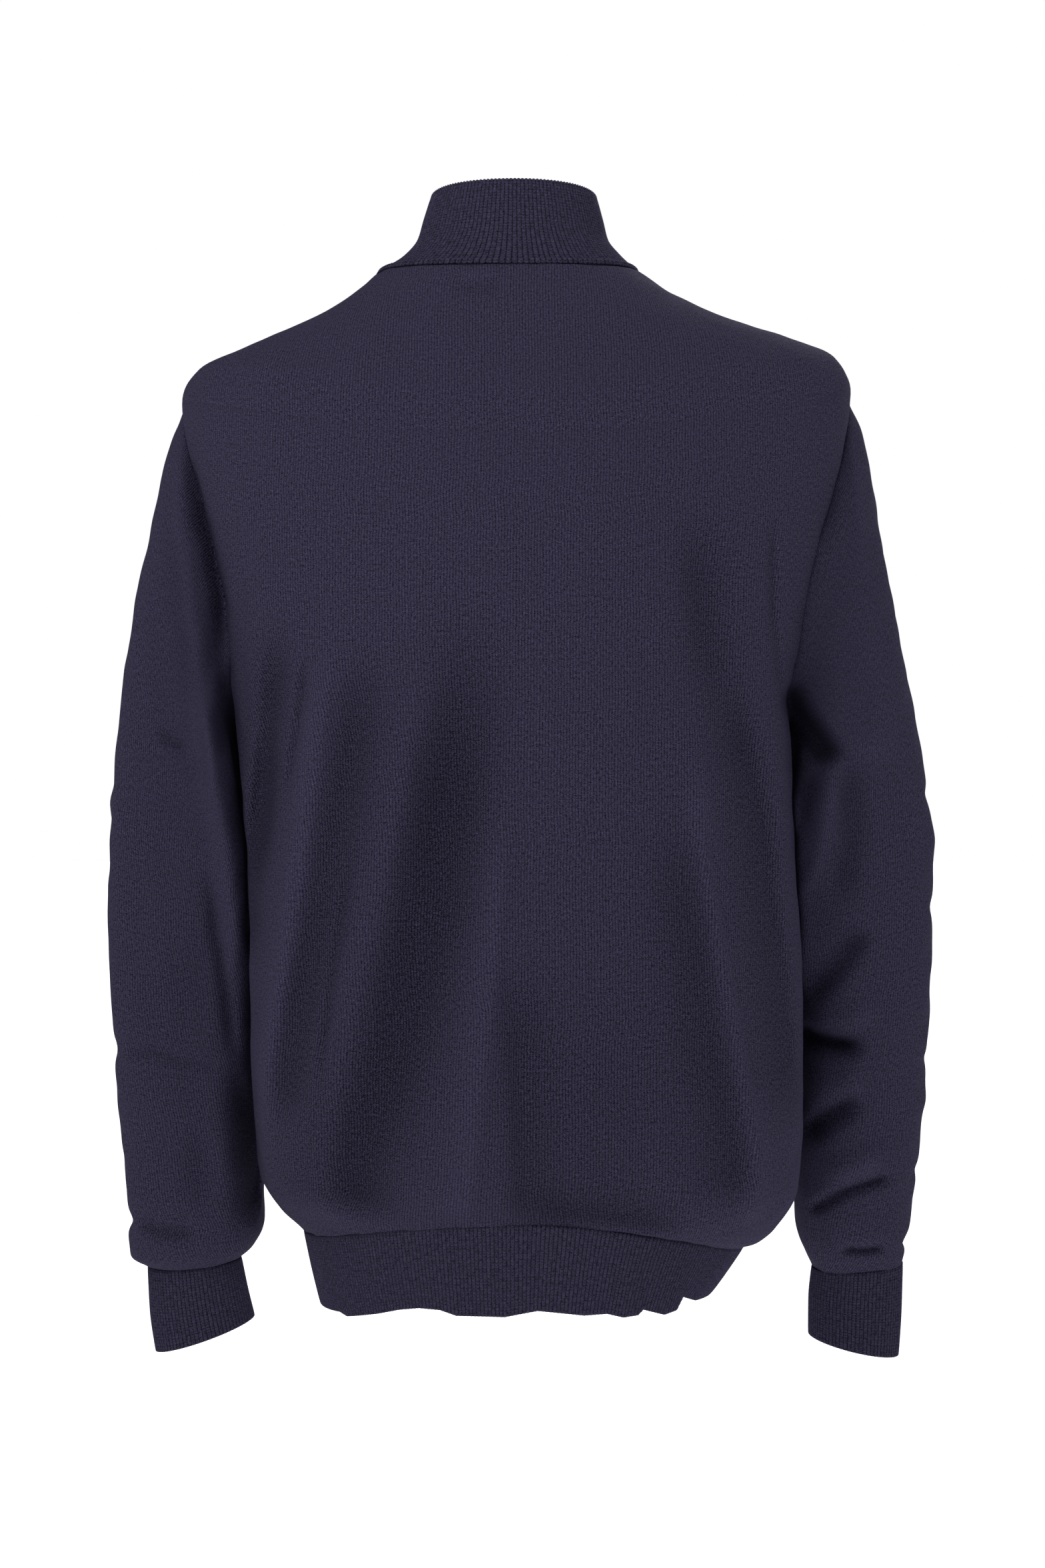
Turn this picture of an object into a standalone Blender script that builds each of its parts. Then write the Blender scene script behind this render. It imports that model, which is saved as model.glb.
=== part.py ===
"""Mock neck sweater in fine merino, in the hollow form that it has when it is worn.

Metres, +Z up. The front faces -Y and the wearer's left is +X. The origin is the middle of the neck
base, at the height where the collar seam crosses the shoulders, because the shoulders carry the
garment. Every piece is one wall of cloth: an open grid of points with a Solidify modifier.

The body is a stack of rings. Each ring is a rounded oval with a height of its own at the back, the
sides and the front. An angle of 0 is the back centre, 90 the wearer's left side and 180 the front.
"""

import math
from types import SimpleNamespace

import bpy
import numpy as np

COLLECTION = "mock_neck_sweater"

# Driving sizes in metres.
WALL = 0.0015
SEAM_GAP = 0.0003

# Bends of the cloth where two pieces meet, in degrees, which set how far each edge stands back.
FLAT_BEND = 22
ARMHOLE_BEND = 68
COLLAR_BEND = 48
RIB_BEND = 70
CUFF_BEND = 72

# Columns of quads across each panel, and round each sleeve and cuff.
PANEL_COLUMNS = 18
SLEEVE_COLUMNS = 24

# The body's rings, from the top of the hem rib to the neck. left, right, back and front are how far
# the ring reaches from the middle, each with its own height. side_y is where its sides lie, front to
# back, and square is the oval's power: 2 is an ellipse, and more is boxier.
RING = ("left", "left_z", "right", "right_z", "back", "back_z", "front", "front_z", "side_y", "square")
BODY_RINGS = (
    (0.1365, -0.6165, 0.148, -0.627, 0.119, -0.594, 0.123, -0.611, 0.000, 2.1),
    (0.152, -0.601, 0.168, -0.611, 0.131, -0.587, 0.134, -0.602, 0.000, 2.4),
    (0.1645, -0.580, 0.1815, -0.586, 0.138, -0.569, 0.140, -0.582, 0.000, 2.7),
    (0.168, -0.532, 0.184, -0.534, 0.139, -0.526, 0.138, -0.532, 0.000, 2.8),
    (0.169, -0.456, 0.184, -0.456, 0.133, -0.452, 0.129, -0.455, 0.002, 2.8),
    (0.172, -0.370, 0.179, -0.370, 0.126, -0.368, 0.126, -0.368, 0.004, 2.7),
    (0.180, -0.283, 0.177, -0.283, 0.123, -0.283, 0.127, -0.283, 0.000, 2.6),
    (0.188, -0.233, 0.187, -0.232, 0.122, -0.237, 0.129, -0.240, -0.002, 2.5),
    (0.199, -0.183, 0.198, -0.180, 0.121, -0.194, 0.127, -0.200, -0.004, 2.5),
    (0.2095, -0.133, 0.211, -0.128, 0.118, -0.155, 0.119, -0.165, -0.006, 2.4),
    (0.216, -0.083, 0.2175, -0.076, 0.113, -0.119, 0.110, -0.134, -0.006, 2.3),
    (0.2055, -0.062, 0.208, -0.054, 0.108, -0.097, 0.104, -0.113, -0.004, 2.3),
    (0.172, -0.047, 0.178, -0.042, 0.102, -0.075, 0.098, -0.091, -0.002, 2.3),
    (0.138, -0.033, 0.141, -0.031, 0.094, -0.051, 0.092, -0.069, 0.000, 2.2),
    (0.110, -0.017, 0.107, -0.016, 0.084, -0.027, 0.085, -0.048, 0.000, 2.1),
    (0.090, 0.000, 0.080, 0.001, 0.075, -0.008, 0.079, -0.031, 0.000, 2.0),
)
UNDERARM_RING = 6
SHOULDER_TIP_RING = 10

# Ring positions of the rows of points. The rows beside the armhole follow from its own points.
ROWS_BELOW_ARMHOLE = (0.0, 0.5, 1.0, 1.5, 2.0, 2.7, 3.5, 4.3, 5.15)
ROWS_ABOVE_ARMHOLE = (10.5, 11.0, 11.6, 12.3, 13.1, 14.0, 15.0)

# The seams, as angles round the body in degrees. The shoulder seam lies a little forward of the
# shoulder's ridge. The armhole reaches this far behind and in front of the side.
SIDE_SEAM = 90
SHOULDER_SEAM = 98
ARMHOLE_BACK = 27
ARMHOLE_FRONT = 24

# The columns that crowd together beside the armhole: the higher the power, the fewer of them.
ARMHOLE_CROWDING = 4

# The mock collar, from its seam with the neck to its open top.
COLLAR_RINGS = (
    (0.090, 0.000, 0.080, 0.001, 0.075, -0.008, 0.079, -0.031, 0.000, 2.0),
    (0.0735, 0.010, 0.069, 0.011, 0.0715, 0.004, 0.0745, -0.018, 0.000, 2.0),
    (0.0632, 0.022, 0.0602, 0.022, 0.068, 0.018, 0.070, -0.003, 0.000, 2.0),
    (0.0589, 0.036, 0.0565, 0.036, 0.065, 0.032, 0.066, 0.012, 0.000, 2.0),
    (0.0540, 0.0515, 0.0525, 0.051, 0.061, 0.0480, 0.062, 0.029, 0.000, 2.0),
)

# The hem rib, from its seam with the body to its lower edge, which the rib draws in.
HEM_RINGS = (
    (0.1365, -0.6165, 0.148, -0.627, 0.119, -0.594, 0.123, -0.611, 0.000, 2.1),
    (0.1315, -0.641, 0.137, -0.645, 0.114, -0.621, 0.118, -0.638, 0.000, 2.1),
    (0.1260, -0.6645, 0.1275, -0.662, 0.109, -0.648, 0.113, -0.665, 0.000, 2.1),
)

# The sleeves, from the armhole to the cuff seam. The outer and the inner line of the arm are given
# as distances out from the middle of the body and as heights. mid_y is the middle of the arm, and
# back and front are the reach of the cloth to each side of it.
SLEEVE = ("outer", "outer_z", "inner", "inner_z", "mid_y", "back", "front", "square")
LEFT_SLEEVE = (
    (0.2160, -0.083, 0.180, -0.283, -0.008, 0.057, 0.060, 2.0),
    (0.2230, -0.106, 0.1845, -0.292, -0.008, 0.059, 0.064, 2.1),
    (0.2315, -0.144, 0.1847, -0.303, -0.009, 0.060, 0.067, 2.2),
    (0.2412, -0.193, 0.1835, -0.320, -0.011, 0.060, 0.067, 2.2),
    (0.2497, -0.243, 0.1810, -0.344, -0.014, 0.058, 0.064, 2.1),
    (0.2577, -0.298, 0.1782, -0.376, -0.019, 0.055, 0.059, 2.1),
    (0.2632, -0.360, 0.1758, -0.415, -0.025, 0.052, 0.056, 2.1),
    (0.2662, -0.425, 0.1740, -0.462, -0.031, 0.049, 0.053, 2.1),
    (0.2655, -0.480, 0.1732, -0.506, -0.036, 0.046, 0.050, 2.1),
    (0.2640, -0.532, 0.1726, -0.550, -0.041, 0.043, 0.047, 2.1),
    (0.2608, -0.582, 0.1712, -0.592, -0.047, 0.041, 0.044, 2.1),
    (0.2600, -0.624, 0.1712, -0.624, -0.052, 0.040, 0.042, 2.2),
    (0.2590, -0.646, 0.1770, -0.640, -0.054, 0.037, 0.039, 2.2),
    (0.2480, -0.6545, 0.1868, -0.6495, -0.055, 0.0275, 0.0285, 2.0),
)
RIGHT_SLEEVE = (
    (0.2175, -0.076, 0.177, -0.283, -0.008, 0.057, 0.060, 2.0),
    (0.2270, -0.102, 0.1822, -0.292, -0.009, 0.058, 0.062, 2.0),
    (0.2340, -0.140, 0.1835, -0.303, -0.011, 0.058, 0.063, 2.0),
    (0.2430, -0.190, 0.1850, -0.320, -0.014, 0.057, 0.063, 2.1),
    (0.2540, -0.243, 0.1855, -0.344, -0.018, 0.055, 0.061, 2.1),
    (0.2655, -0.302, 0.1865, -0.376, -0.024, 0.052, 0.059, 2.1),
    (0.2748, -0.364, 0.1880, -0.415, -0.030, 0.050, 0.056, 2.1),
    (0.2765, -0.425, 0.1890, -0.462, -0.036, 0.048, 0.053, 2.1),
    (0.2760, -0.480, 0.1895, -0.506, -0.041, 0.046, 0.050, 2.1),
    (0.2738, -0.532, 0.1893, -0.550, -0.046, 0.043, 0.047, 2.1),
    (0.2700, -0.582, 0.1885, -0.592, -0.051, 0.041, 0.044, 2.1),
    (0.2655, -0.622, 0.1905, -0.625, -0.055, 0.038, 0.040, 2.1),
    (0.2632, -0.641, 0.1960, -0.6445, -0.057, 0.033, 0.035, 2.1),
    (0.2618, -0.653, 0.2020, -0.657, -0.058, 0.0275, 0.0285, 2.0),
)
SLEEVE_ROWS = (0.0, 1.0, 2.0, 3.0, 4.0, 5.0, 6.0, 7.0, 8.0, 9.0, 10.0, 11.0, 11.6, 12.3, 13.0)

# Rings over which the sleeve's own oval takes over from the shape of the armhole.
ARMHOLE_FADE = 3.5

# Under the arm the two pieces lie face to face, so the sleeve starts this far outside the body.
UNDERARM_LAP = 0.0041

LEFT_CUFF = (
    (0.2480, -0.6545, 0.1868, -0.6495, -0.055, 0.0275, 0.0285, 2.0),
    (0.2472, -0.685, 0.1826, -0.673, -0.059, 0.0275, 0.0285, 2.0),
    (0.2440, -0.714, 0.1786, -0.692, -0.063, 0.0285, 0.0295, 2.0),
)
RIGHT_CUFF = (
    (0.2618, -0.653, 0.2020, -0.657, -0.058, 0.0275, 0.0285, 2.0),
    (0.2615, -0.684, 0.2003, -0.680, -0.061, 0.0270, 0.0280, 2.0),
    (0.2600, -0.717, 0.2005, -0.704, -0.064, 0.0280, 0.0290, 2.0),
)

# The largest folds of the body. Each runs from a top to a foot, given as x and z, and is a ridge
# where height is positive and a trough where it is negative. width is half its breadth.
FOLD = ("top_x", "top_z", "foot_x", "foot_z", "width", "height")
BACK_FOLDS = (
    (0.030, -0.240, 0.095, -0.560, 0.028, -0.012),
    (0.090, -0.250, 0.122, -0.585, 0.018, 0.007),
    (0.118, -0.230, 0.146, -0.460, 0.016, -0.007),
    (-0.096, -0.180, -0.134, -0.520, 0.026, -0.010),
    (-0.116, -0.330, -0.146, -0.585, 0.014, 0.008),
    (0.014, -0.460, 0.018, -0.570, 0.018, -0.006),
)
FRONT_FOLDS = (
    (0.070, -0.230, 0.115, -0.560, 0.026, -0.010),
    (0.110, -0.270, 0.135, -0.580, 0.018, 0.006),
    (-0.080, -0.220, -0.125, -0.550, 0.026, -0.010),
    (-0.118, -0.300, -0.142, -0.580, 0.016, 0.006),
    (-0.010, -0.420, -0.018, -0.570, 0.022, -0.006),
)

# A fold dies out over this share of the panel's width at each side seam.
FOLD_EDGE = 0.14


def standing_back(bend):
    """How far an edge stands back from a seam where the cloth turns by `bend` degrees."""
    return SEAM_GAP / 2 + WALL / 2 * math.tan(math.radians(bend / 2))


def read_rows(columns, rows, at):
    """Every column at the places `at`, counted in rows, on a curve that never overshoots them."""
    table = np.array(rows, dtype=float)
    steps = np.diff(table, axis=0)
    before, after = steps[:-1], steps[1:]
    same_way = before * after > 0
    total = np.where(same_way, before + after, 1.0)
    slopes = np.vstack([steps[:1], np.where(same_way, 2 * before * after / total, 0.0), steps[-1:]])
    at = np.clip(np.asarray(at, dtype=float), 0, len(rows) - 1)
    row = np.minimum(at.astype(int), len(rows) - 2)
    t = (at - row)[..., None]
    values = (
        (2 * t**3 - 3 * t**2 + 1) * table[row]
        + (t**3 - 2 * t**2 + t) * slopes[row]
        + (3 * t**2 - 2 * t**3) * table[row + 1]
        + (t**3 - t**2) * slopes[row + 1]
    )
    return SimpleNamespace(**{name: values[..., i] for i, name in enumerate(columns)})


def rounded(sine, cosine, square):
    """The factor that turns an ellipse into an oval of the power `square`."""
    return (np.abs(sine) ** square + np.abs(cosine) ** square) ** (-1 / square)


def ring_points(rings, at, angle):
    """Points on a stack of rings, at ring positions `at` and angles in degrees."""
    at, angle = np.broadcast_arrays(np.asarray(at, float), np.asarray(angle, float))
    ring = read_rows(RING, rings, at)
    sine, cosine = np.sin(np.radians(angle)), np.cos(np.radians(angle))
    grow = rounded(sine, cosine, ring.square)
    x = np.where(sine >= 0, ring.left, ring.right) * sine * grow
    back = ring.back - ring.side_y
    front = ring.front + ring.side_y
    y = ring.side_y + np.where(cosine >= 0, back, front) * cosine * grow
    side_z = np.where(sine >= 0, ring.left_z, ring.right_z)
    middle_z = np.where(cosine >= 0, ring.back_z, ring.front_z)
    z = side_z * sine**2 + middle_z * cosine**2
    return np.stack([x, y, z], axis=-1)


def seam_angle(at):
    """Angle of the seam between back and front: the side seam, the armhole's middle, the shoulder."""
    share = np.clip((at - UNDERARM_RING) / (SHOULDER_TIP_RING - UNDERARM_RING), 0, 1)
    return SIDE_SEAM + (SHOULDER_SEAM - SIDE_SEAM) * share


def armhole_ring(turn):
    """Ring position of the armhole's edge. A turn of 0 is the shoulder tip, 180 the underarm."""
    middle = (UNDERARM_RING + SHOULDER_TIP_RING) / 2
    return middle + (SHOULDER_TIP_RING - middle) * np.cos(np.radians(turn))


def armhole_width(at):
    """How wide the armhole is open at a ring, from 0 at its ends to 1 in the middle."""
    middle = (UNDERARM_RING + SHOULDER_TIP_RING) / 2
    share = (np.asarray(at, float) - middle) / (SHOULDER_TIP_RING - middle)
    return np.sqrt(np.clip(1 - share**2, 0, None))


def panel_rows():
    turns = np.linspace(180, 0, SLEEVE_COLUMNS // 2 + 1)
    return np.concatenate([ROWS_BELOW_ARMHOLE, armhole_ring(turns), ROWS_ABOVE_ARMHOLE])


def armhole_points(side):
    """The armhole's edge, a point for each column of the sleeve, back first. side is +1 on the left."""
    turn = np.arange(SLEEVE_COLUMNS) * 360 / SLEEVE_COLUMNS
    at = armhole_ring(turn)
    reach = np.where(np.sin(np.radians(turn)) >= 0, -ARMHOLE_BACK, ARMHOLE_FRONT)
    angle = seam_angle(at) + reach * armhole_width(at)
    return ring_points(BODY_RINGS, at, side * angle)


def unit(vectors):
    length = np.linalg.norm(vectors, axis=-1, keepdims=True)
    return vectors / np.maximum(length, 1e-9)


def grid_normals(grid):
    """Outward direction at each point of a grid whose rows go up and whose columns go round."""
    across = np.gradient(grid, axis=1)
    upward = np.gradient(grid, axis=0)
    return unit(np.cross(across, upward))


def fold_heights(points, folds):
    """Height of all folds together at each point, in the plane of x and z."""
    total = np.zeros(points.shape[:-1])
    place = points[..., [0, 2]]
    for row in folds:
        fold = SimpleNamespace(**dict(zip(FOLD, row)))
        top = np.array([fold.top_x, fold.top_z])
        run = np.array([fold.foot_x, fold.foot_z]) - top
        share = np.clip((place - top) @ run / (run @ run), 0, 1)
        distance = np.linalg.norm(place - (top + share[..., None] * run), axis=-1)
        total += fold.height * np.exp(-((distance / fold.width) ** 2)) * np.sin(math.pi * share)
    return total


def drawn_in(grid, left=0.0, right=0.0, bottom=0.0, top=0.0):
    """The grid with each edge drawn in along its rows and columns, to leave the gap of a seam."""
    grid = grid.copy()
    grid[:, 0] += left * unit(grid[:, 1] - grid[:, 0])
    grid[:, -1] += right * unit(grid[:, -2] - grid[:, -1])
    grid[0] += bottom * unit(grid[1] - grid[0])
    grid[-1] += top * unit(grid[-2] - grid[-1])
    return grid


def panel_grid(front, folds):
    """The back or the front, from the hem rib's seam to the neck seam."""
    at = panel_rows()[:, None]
    share = np.linspace(-1, 1, PANEL_COLUMNS + 1)[None, :]
    seam = 180 - seam_angle(at) if front else seam_angle(at)
    armhole = (ARMHOLE_FRONT if front else ARMHOLE_BACK) * armhole_width(at)
    angle = share * seam - np.sign(share) * np.abs(share) ** ARMHOLE_CROWDING * armhole
    angle = angle + (180 if front else 0)
    grid = ring_points(BODY_RINGS, at, angle)
    fade = np.clip((1 - np.abs(share)) / FOLD_EDGE, 0, 1)
    height = fold_heights(grid, folds) * fade**2 * (3 - 2 * fade)
    grid = grid + height[..., None] * grid_normals(grid)
    beside_armhole = armhole_width(panel_rows()) > 0
    bend = np.where(beside_armhole, standing_back(ARMHOLE_BEND), standing_back(FLAT_BEND))[:, None]
    return drawn_in(grid, bend, bend, standing_back(RIB_BEND), standing_back(COLLAR_BEND))


def hem_grid(front):
    """Half of the hem rib, from its lower edge to its seam."""
    at = np.array([2.0, 1.0, 0.0])[:, None]
    share = np.linspace(-1, 1, PANEL_COLUMNS + 1)[None, :]
    middle = 180 if front else 0
    grid = ring_points(HEM_RINGS, at, middle + share * SIDE_SEAM)
    gap = standing_back(FLAT_BEND)
    return drawn_in(grid, gap, gap, 0.0, standing_back(RIB_BEND))


def collar_grid():
    """The collar, all round, with a column for each one of the back and the front."""
    at = np.arange(len(COLLAR_RINGS), dtype=float)[:, None]
    back = np.linspace(-SHOULDER_SEAM, SHOULDER_SEAM, PANEL_COLUMNS + 1)
    front = np.linspace(SHOULDER_SEAM, 360 - SHOULDER_SEAM, PANEL_COLUMNS + 1)[1:-1]
    grid = ring_points(COLLAR_RINGS, at, np.concatenate([back, front])[None, :])
    return drawn_in(grid, bottom=standing_back(COLLAR_BEND))


def sleeve_points(rows, at, side, turn):
    """Points on a sleeve or a cuff. A turn of 0 is its outer line, 90 its back, 180 its inner line."""
    arm = read_rows(SLEEVE, rows, at[:, None])
    sine, cosine = np.sin(np.radians(turn)), np.cos(np.radians(turn))
    grow = rounded(sine, cosine, arm.square)
    out = cosine * grow
    x = (arm.outer + arm.inner) / 2 + (arm.outer - arm.inner) / 2 * out
    z = (arm.outer_z + arm.inner_z) / 2 + (arm.outer_z - arm.inner_z) / 2 * out
    y = arm.mid_y + np.where(sine >= 0, arm.back, arm.front) * sine * grow
    return np.stack([side * x, y, z], axis=-1)


def sleeve_grid(rows, side):
    """A sleeve, whose first ring is the armhole's edge."""
    turn = np.arange(SLEEVE_COLUMNS) * 360 / SLEEVE_COLUMNS
    at = np.array(SLEEVE_ROWS)
    grid = sleeve_points(rows, at, side, turn)
    start = armhole_points(side)
    underarm = ((1 - np.cos(np.radians(turn))) / 2) ** 2
    start[:, 0] += side * UNDERARM_LAP * underarm
    fade = np.clip(1 - at / ARMHOLE_FADE, 0, 1)[:, None, None] ** 2
    grid = grid + (start - grid[0]) * fade
    return drawn_in(grid, bottom=standing_back(ARMHOLE_BEND), top=standing_back(CUFF_BEND))


def cuff_grid(rows, side):
    turn = np.arange(SLEEVE_COLUMNS) * 360 / SLEEVE_COLUMNS
    grid = sleeve_points(rows, np.arange(len(rows), dtype=float), side, turn)
    return drawn_in(grid, bottom=standing_back(CUFF_BEND))


def faces_of(row_count, column_count, closed):
    """Quads of a grid, joined all round where it is closed."""
    last = column_count if closed else column_count - 1
    for row in range(row_count - 1):
        for column in range(last):
            a = row * column_count + column
            b = row * column_count + (column + 1) % column_count
            yield (a, b, b + column_count, a + column_count)


def cloth(name, grid, closed, material, turned=False):
    """A piece of cloth: the grid's faces, thickened by a Solidify modifier about their middle."""
    row_count, column_count, _ = grid.shape
    faces = list(faces_of(row_count, column_count, closed))
    if turned:
        faces = [face[::-1] for face in faces]
    mesh = bpy.data.meshes.new(name)
    mesh.from_pydata(grid.reshape(-1, 3).tolist(), [], faces)
    mesh.materials.append(material)
    mesh.shade_smooth()
    piece = bpy.data.objects.new(name, mesh)
    bpy.data.collections[COLLECTION].objects.link(piece)
    wall = piece.modifiers.new("cloth_wall", "SOLIDIFY")
    wall.thickness = WALL
    wall.offset = 0
    return piece


def cloth_material(name, colour, roughness):
    """Matte navy wool, its colour given as linear red, green and blue."""
    material = bpy.data.materials.new(name)
    material.use_nodes = True
    shader = material.node_tree.nodes["Principled BSDF"]
    shader.inputs["Base Color"].default_value = (*colour, 1)
    shader.inputs["Roughness"].default_value = roughness
    shader.inputs["Metallic"].default_value = 0
    return material


def clear_scene():
    for thing in list(bpy.data.objects):
        bpy.data.objects.remove(thing, do_unlink=True)
    collection = bpy.data.collections.new(COLLECTION)
    bpy.context.scene.collection.children.link(collection)


def build():
    clear_scene()
    jersey = cloth_material("navy_merino_jersey", (0.022, 0.021, 0.040), 0.90)
    rib = cloth_material("navy_merino_rib", (0.020, 0.019, 0.037), 0.92)
    cloth("back", panel_grid(False, BACK_FOLDS), False, jersey)
    cloth("front", panel_grid(True, FRONT_FOLDS), False, jersey)
    cloth("sleeve_left", sleeve_grid(LEFT_SLEEVE, 1), True, jersey)
    cloth("sleeve_right", sleeve_grid(RIGHT_SLEEVE, -1), True, jersey, turned=True)
    cloth("mock_collar", collar_grid(), True, rib)
    cloth("hem_rib_back", hem_grid(False), False, rib)
    cloth("hem_rib_front", hem_grid(True), False, rib)
    cloth("cuff_left", cuff_grid(LEFT_CUFF, 1), True, rib)
    cloth("cuff_right", cuff_grid(RIGHT_CUFF, -1), True, rib, turned=True)


build()
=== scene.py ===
"""Mock neck sweater in fine navy merino, in the hollow form that it has when it is worn.

Metres, +Z up. The front faces -Y and the wearer's left is +X. The camera looks at the back. Each
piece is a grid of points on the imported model's form, read from the same tables at a finer step. One
field pushes the creases into all pieces, so the seams between them stay shut.
"""

import math
from types import SimpleNamespace

import bpy
import numpy as np
from bpy.props import FloatProperty, FloatVectorProperty, PointerProperty
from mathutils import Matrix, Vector


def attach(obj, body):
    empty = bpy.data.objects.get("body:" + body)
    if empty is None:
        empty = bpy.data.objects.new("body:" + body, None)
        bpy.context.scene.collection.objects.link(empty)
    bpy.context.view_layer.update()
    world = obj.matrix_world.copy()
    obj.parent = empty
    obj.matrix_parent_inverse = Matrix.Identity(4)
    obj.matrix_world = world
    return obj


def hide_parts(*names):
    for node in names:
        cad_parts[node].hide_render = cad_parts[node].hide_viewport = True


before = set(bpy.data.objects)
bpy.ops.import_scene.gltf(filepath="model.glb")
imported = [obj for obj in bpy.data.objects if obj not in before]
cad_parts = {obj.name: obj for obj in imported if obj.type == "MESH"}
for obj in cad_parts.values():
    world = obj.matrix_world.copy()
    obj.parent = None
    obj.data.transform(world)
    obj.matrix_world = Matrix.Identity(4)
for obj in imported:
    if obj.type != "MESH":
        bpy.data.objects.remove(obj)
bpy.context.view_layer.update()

bl_info = {
    "name": "Mock Neck Sweater",
    "version": (1, 0, 0),
    "blender": (4, 5, 0),
    "location": "View3D > Sidebar > Sweater",
    "description": "Builds a fine-knit mock neck sweater round its packed model",
    "category": "Object",
}

BODY = "root"
MM = 0.001

# The body's rings, from the top of the hem rib to the neck. left, right, back and front are how far
# the ring reaches from the middle, each with its height. side_y is where its sides lie, front to
# back, and square is the oval's power: 2 is an ellipse, and more is boxier.
RING = (
    "left", "left_z", "right", "right_z", "back", "back_z", "front", "front_z", "side_y", "square",
)
BODY_RINGS = (
    (0.1365, -0.6165, 0.148, -0.627, 0.1265, -0.592, 0.1285, -0.608, 0.0, 2.1),
    (0.152, -0.601, 0.168, -0.611, 0.1305, -0.581, 0.133, -0.597, 0.0, 2.3),
    (0.1645, -0.58, 0.1815, -0.586, 0.135, -0.562, 0.138, -0.576, 0.0, 2.6),
    (0.168, -0.532, 0.184, -0.534, 0.139, -0.526, 0.138, -0.532, 0.0, 2.8),
    (0.169, -0.456, 0.184, -0.456, 0.133, -0.452, 0.129, -0.455, 0.002, 2.8),
    (0.172, -0.37, 0.179, -0.37, 0.126, -0.368, 0.126, -0.368, 0.004, 2.7),
    (0.18, -0.283, 0.177, -0.283, 0.123, -0.283, 0.127, -0.283, 0.0, 2.6),
    (0.188, -0.233, 0.187, -0.232, 0.122, -0.237, 0.129, -0.24, -0.002, 2.5),
    (0.199, -0.183, 0.198, -0.18, 0.121, -0.194, 0.127, -0.2, -0.004, 2.5),
    (0.2095, -0.133, 0.211, -0.128, 0.118, -0.155, 0.119, -0.165, -0.006, 2.4),
    (0.216, -0.083, 0.2175, -0.076, 0.113, -0.119, 0.11, -0.134, -0.006, 2.3),
    (0.2055, -0.062, 0.208, -0.054, 0.108, -0.097, 0.104, -0.113, -0.004, 2.3),
    (0.172, -0.047, 0.178, -0.042, 0.102, -0.075, 0.098, -0.091, -0.002, 2.3),
    (0.138, -0.033, 0.141, -0.031, 0.094, -0.051, 0.092, -0.069, 0.0, 2.2),
    (0.11, -0.017, 0.107, -0.016, 0.084, -0.027, 0.085, -0.048, 0.0, 2.1),
    (0.09, 0.0, 0.08, 0.001, 0.075, -0.008, 0.079, -0.031, 0.0, 2.0),
)
UNDERARM_RING = 6
ARMHOLE_MIDDLE = 8
SHOULDER_TIP_RING = 10

# The seams, as angles round the body in degrees. 0 is the middle of the back.
SIDE_SEAM = 90
SHOULDER_SEAM = 98
ARMHOLE_BACK = 27
ARMHOLE_FRONT = 24
# How closely a panel's columns crowd towards its armhole, and the collar's rows towards its seam.
ARMHOLE_CROWDING = 4
COLLAR_CROWDING = 1.15

# Each rib starts from the edge of the jersey that it is joined to.
COLLAR_RINGS = (
    BODY_RINGS[-1],
    (0.0735, 0.01, 0.069, 0.011, 0.0715, 0.004, 0.0745, -0.018, 0.0, 2.0),
    (0.0632, 0.022, 0.0602, 0.022, 0.068, 0.018, 0.07, -0.003, 0.0, 2.0),
    (0.0589, 0.036, 0.0565, 0.036, 0.065, 0.032, 0.066, 0.012, 0.0, 2.0),
    (0.054, 0.0515, 0.0525, 0.051, 0.061, 0.048, 0.062, 0.029, 0.0, 2.0),
)
HEM_RINGS = (
    BODY_RINGS[0],
    (0.1315, -0.641, 0.137, -0.645, 0.1175, -0.62, 0.121, -0.637, 0.0, 2.1),
    (0.126, -0.6645, 0.1275, -0.662, 0.109, -0.648, 0.113, -0.665, 0.0, 2.1),
)

# The sleeves, from the armhole to the cuff seam. The outer and the inner line of the arm are given
# as distances out from the middle of the body and as heights. mid_y is the middle of the arm, and
# back and front are the reach of the cloth to each side of it.
SLEEVE = ("outer", "outer_z", "inner", "inner_z", "mid_y", "back", "front", "square")
LEFT_SLEEVE = (
    (0.216, -0.083, 0.18, -0.283, -0.008, 0.057, 0.06, 2.0),
    (0.223, -0.106, 0.1845, -0.292, -0.008, 0.059, 0.064, 2.2),
    (0.2315, -0.144, 0.1847, -0.303, -0.009, 0.06, 0.067, 2.5),
    (0.2412, -0.193, 0.1835, -0.32, -0.011, 0.06, 0.067, 3.0),
    (0.2497, -0.243, 0.181, -0.344, -0.014, 0.058, 0.064, 3.6),
    (0.2577, -0.298, 0.1782, -0.376, -0.019, 0.055, 0.059, 4.2),
    (0.2632, -0.36, 0.1758, -0.415, -0.025, 0.052, 0.056, 4.5),
    (0.2662, -0.425, 0.174, -0.462, -0.031, 0.049, 0.053, 4.5),
    (0.2655, -0.48, 0.1732, -0.506, -0.036, 0.046, 0.05, 4.2),
    (0.264, -0.532, 0.1726, -0.55, -0.041, 0.043, 0.047, 3.6),
    (0.2608, -0.582, 0.1712, -0.592, -0.047, 0.041, 0.044, 3.0),
    (0.26, -0.624, 0.1712, -0.624, -0.052, 0.04, 0.042, 2.6),
    (0.259, -0.646, 0.177, -0.64, -0.054, 0.037, 0.039, 2.2),
    (0.248, -0.6545, 0.1868, -0.6495, -0.055, 0.0275, 0.0285, 2.0),
)
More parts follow.
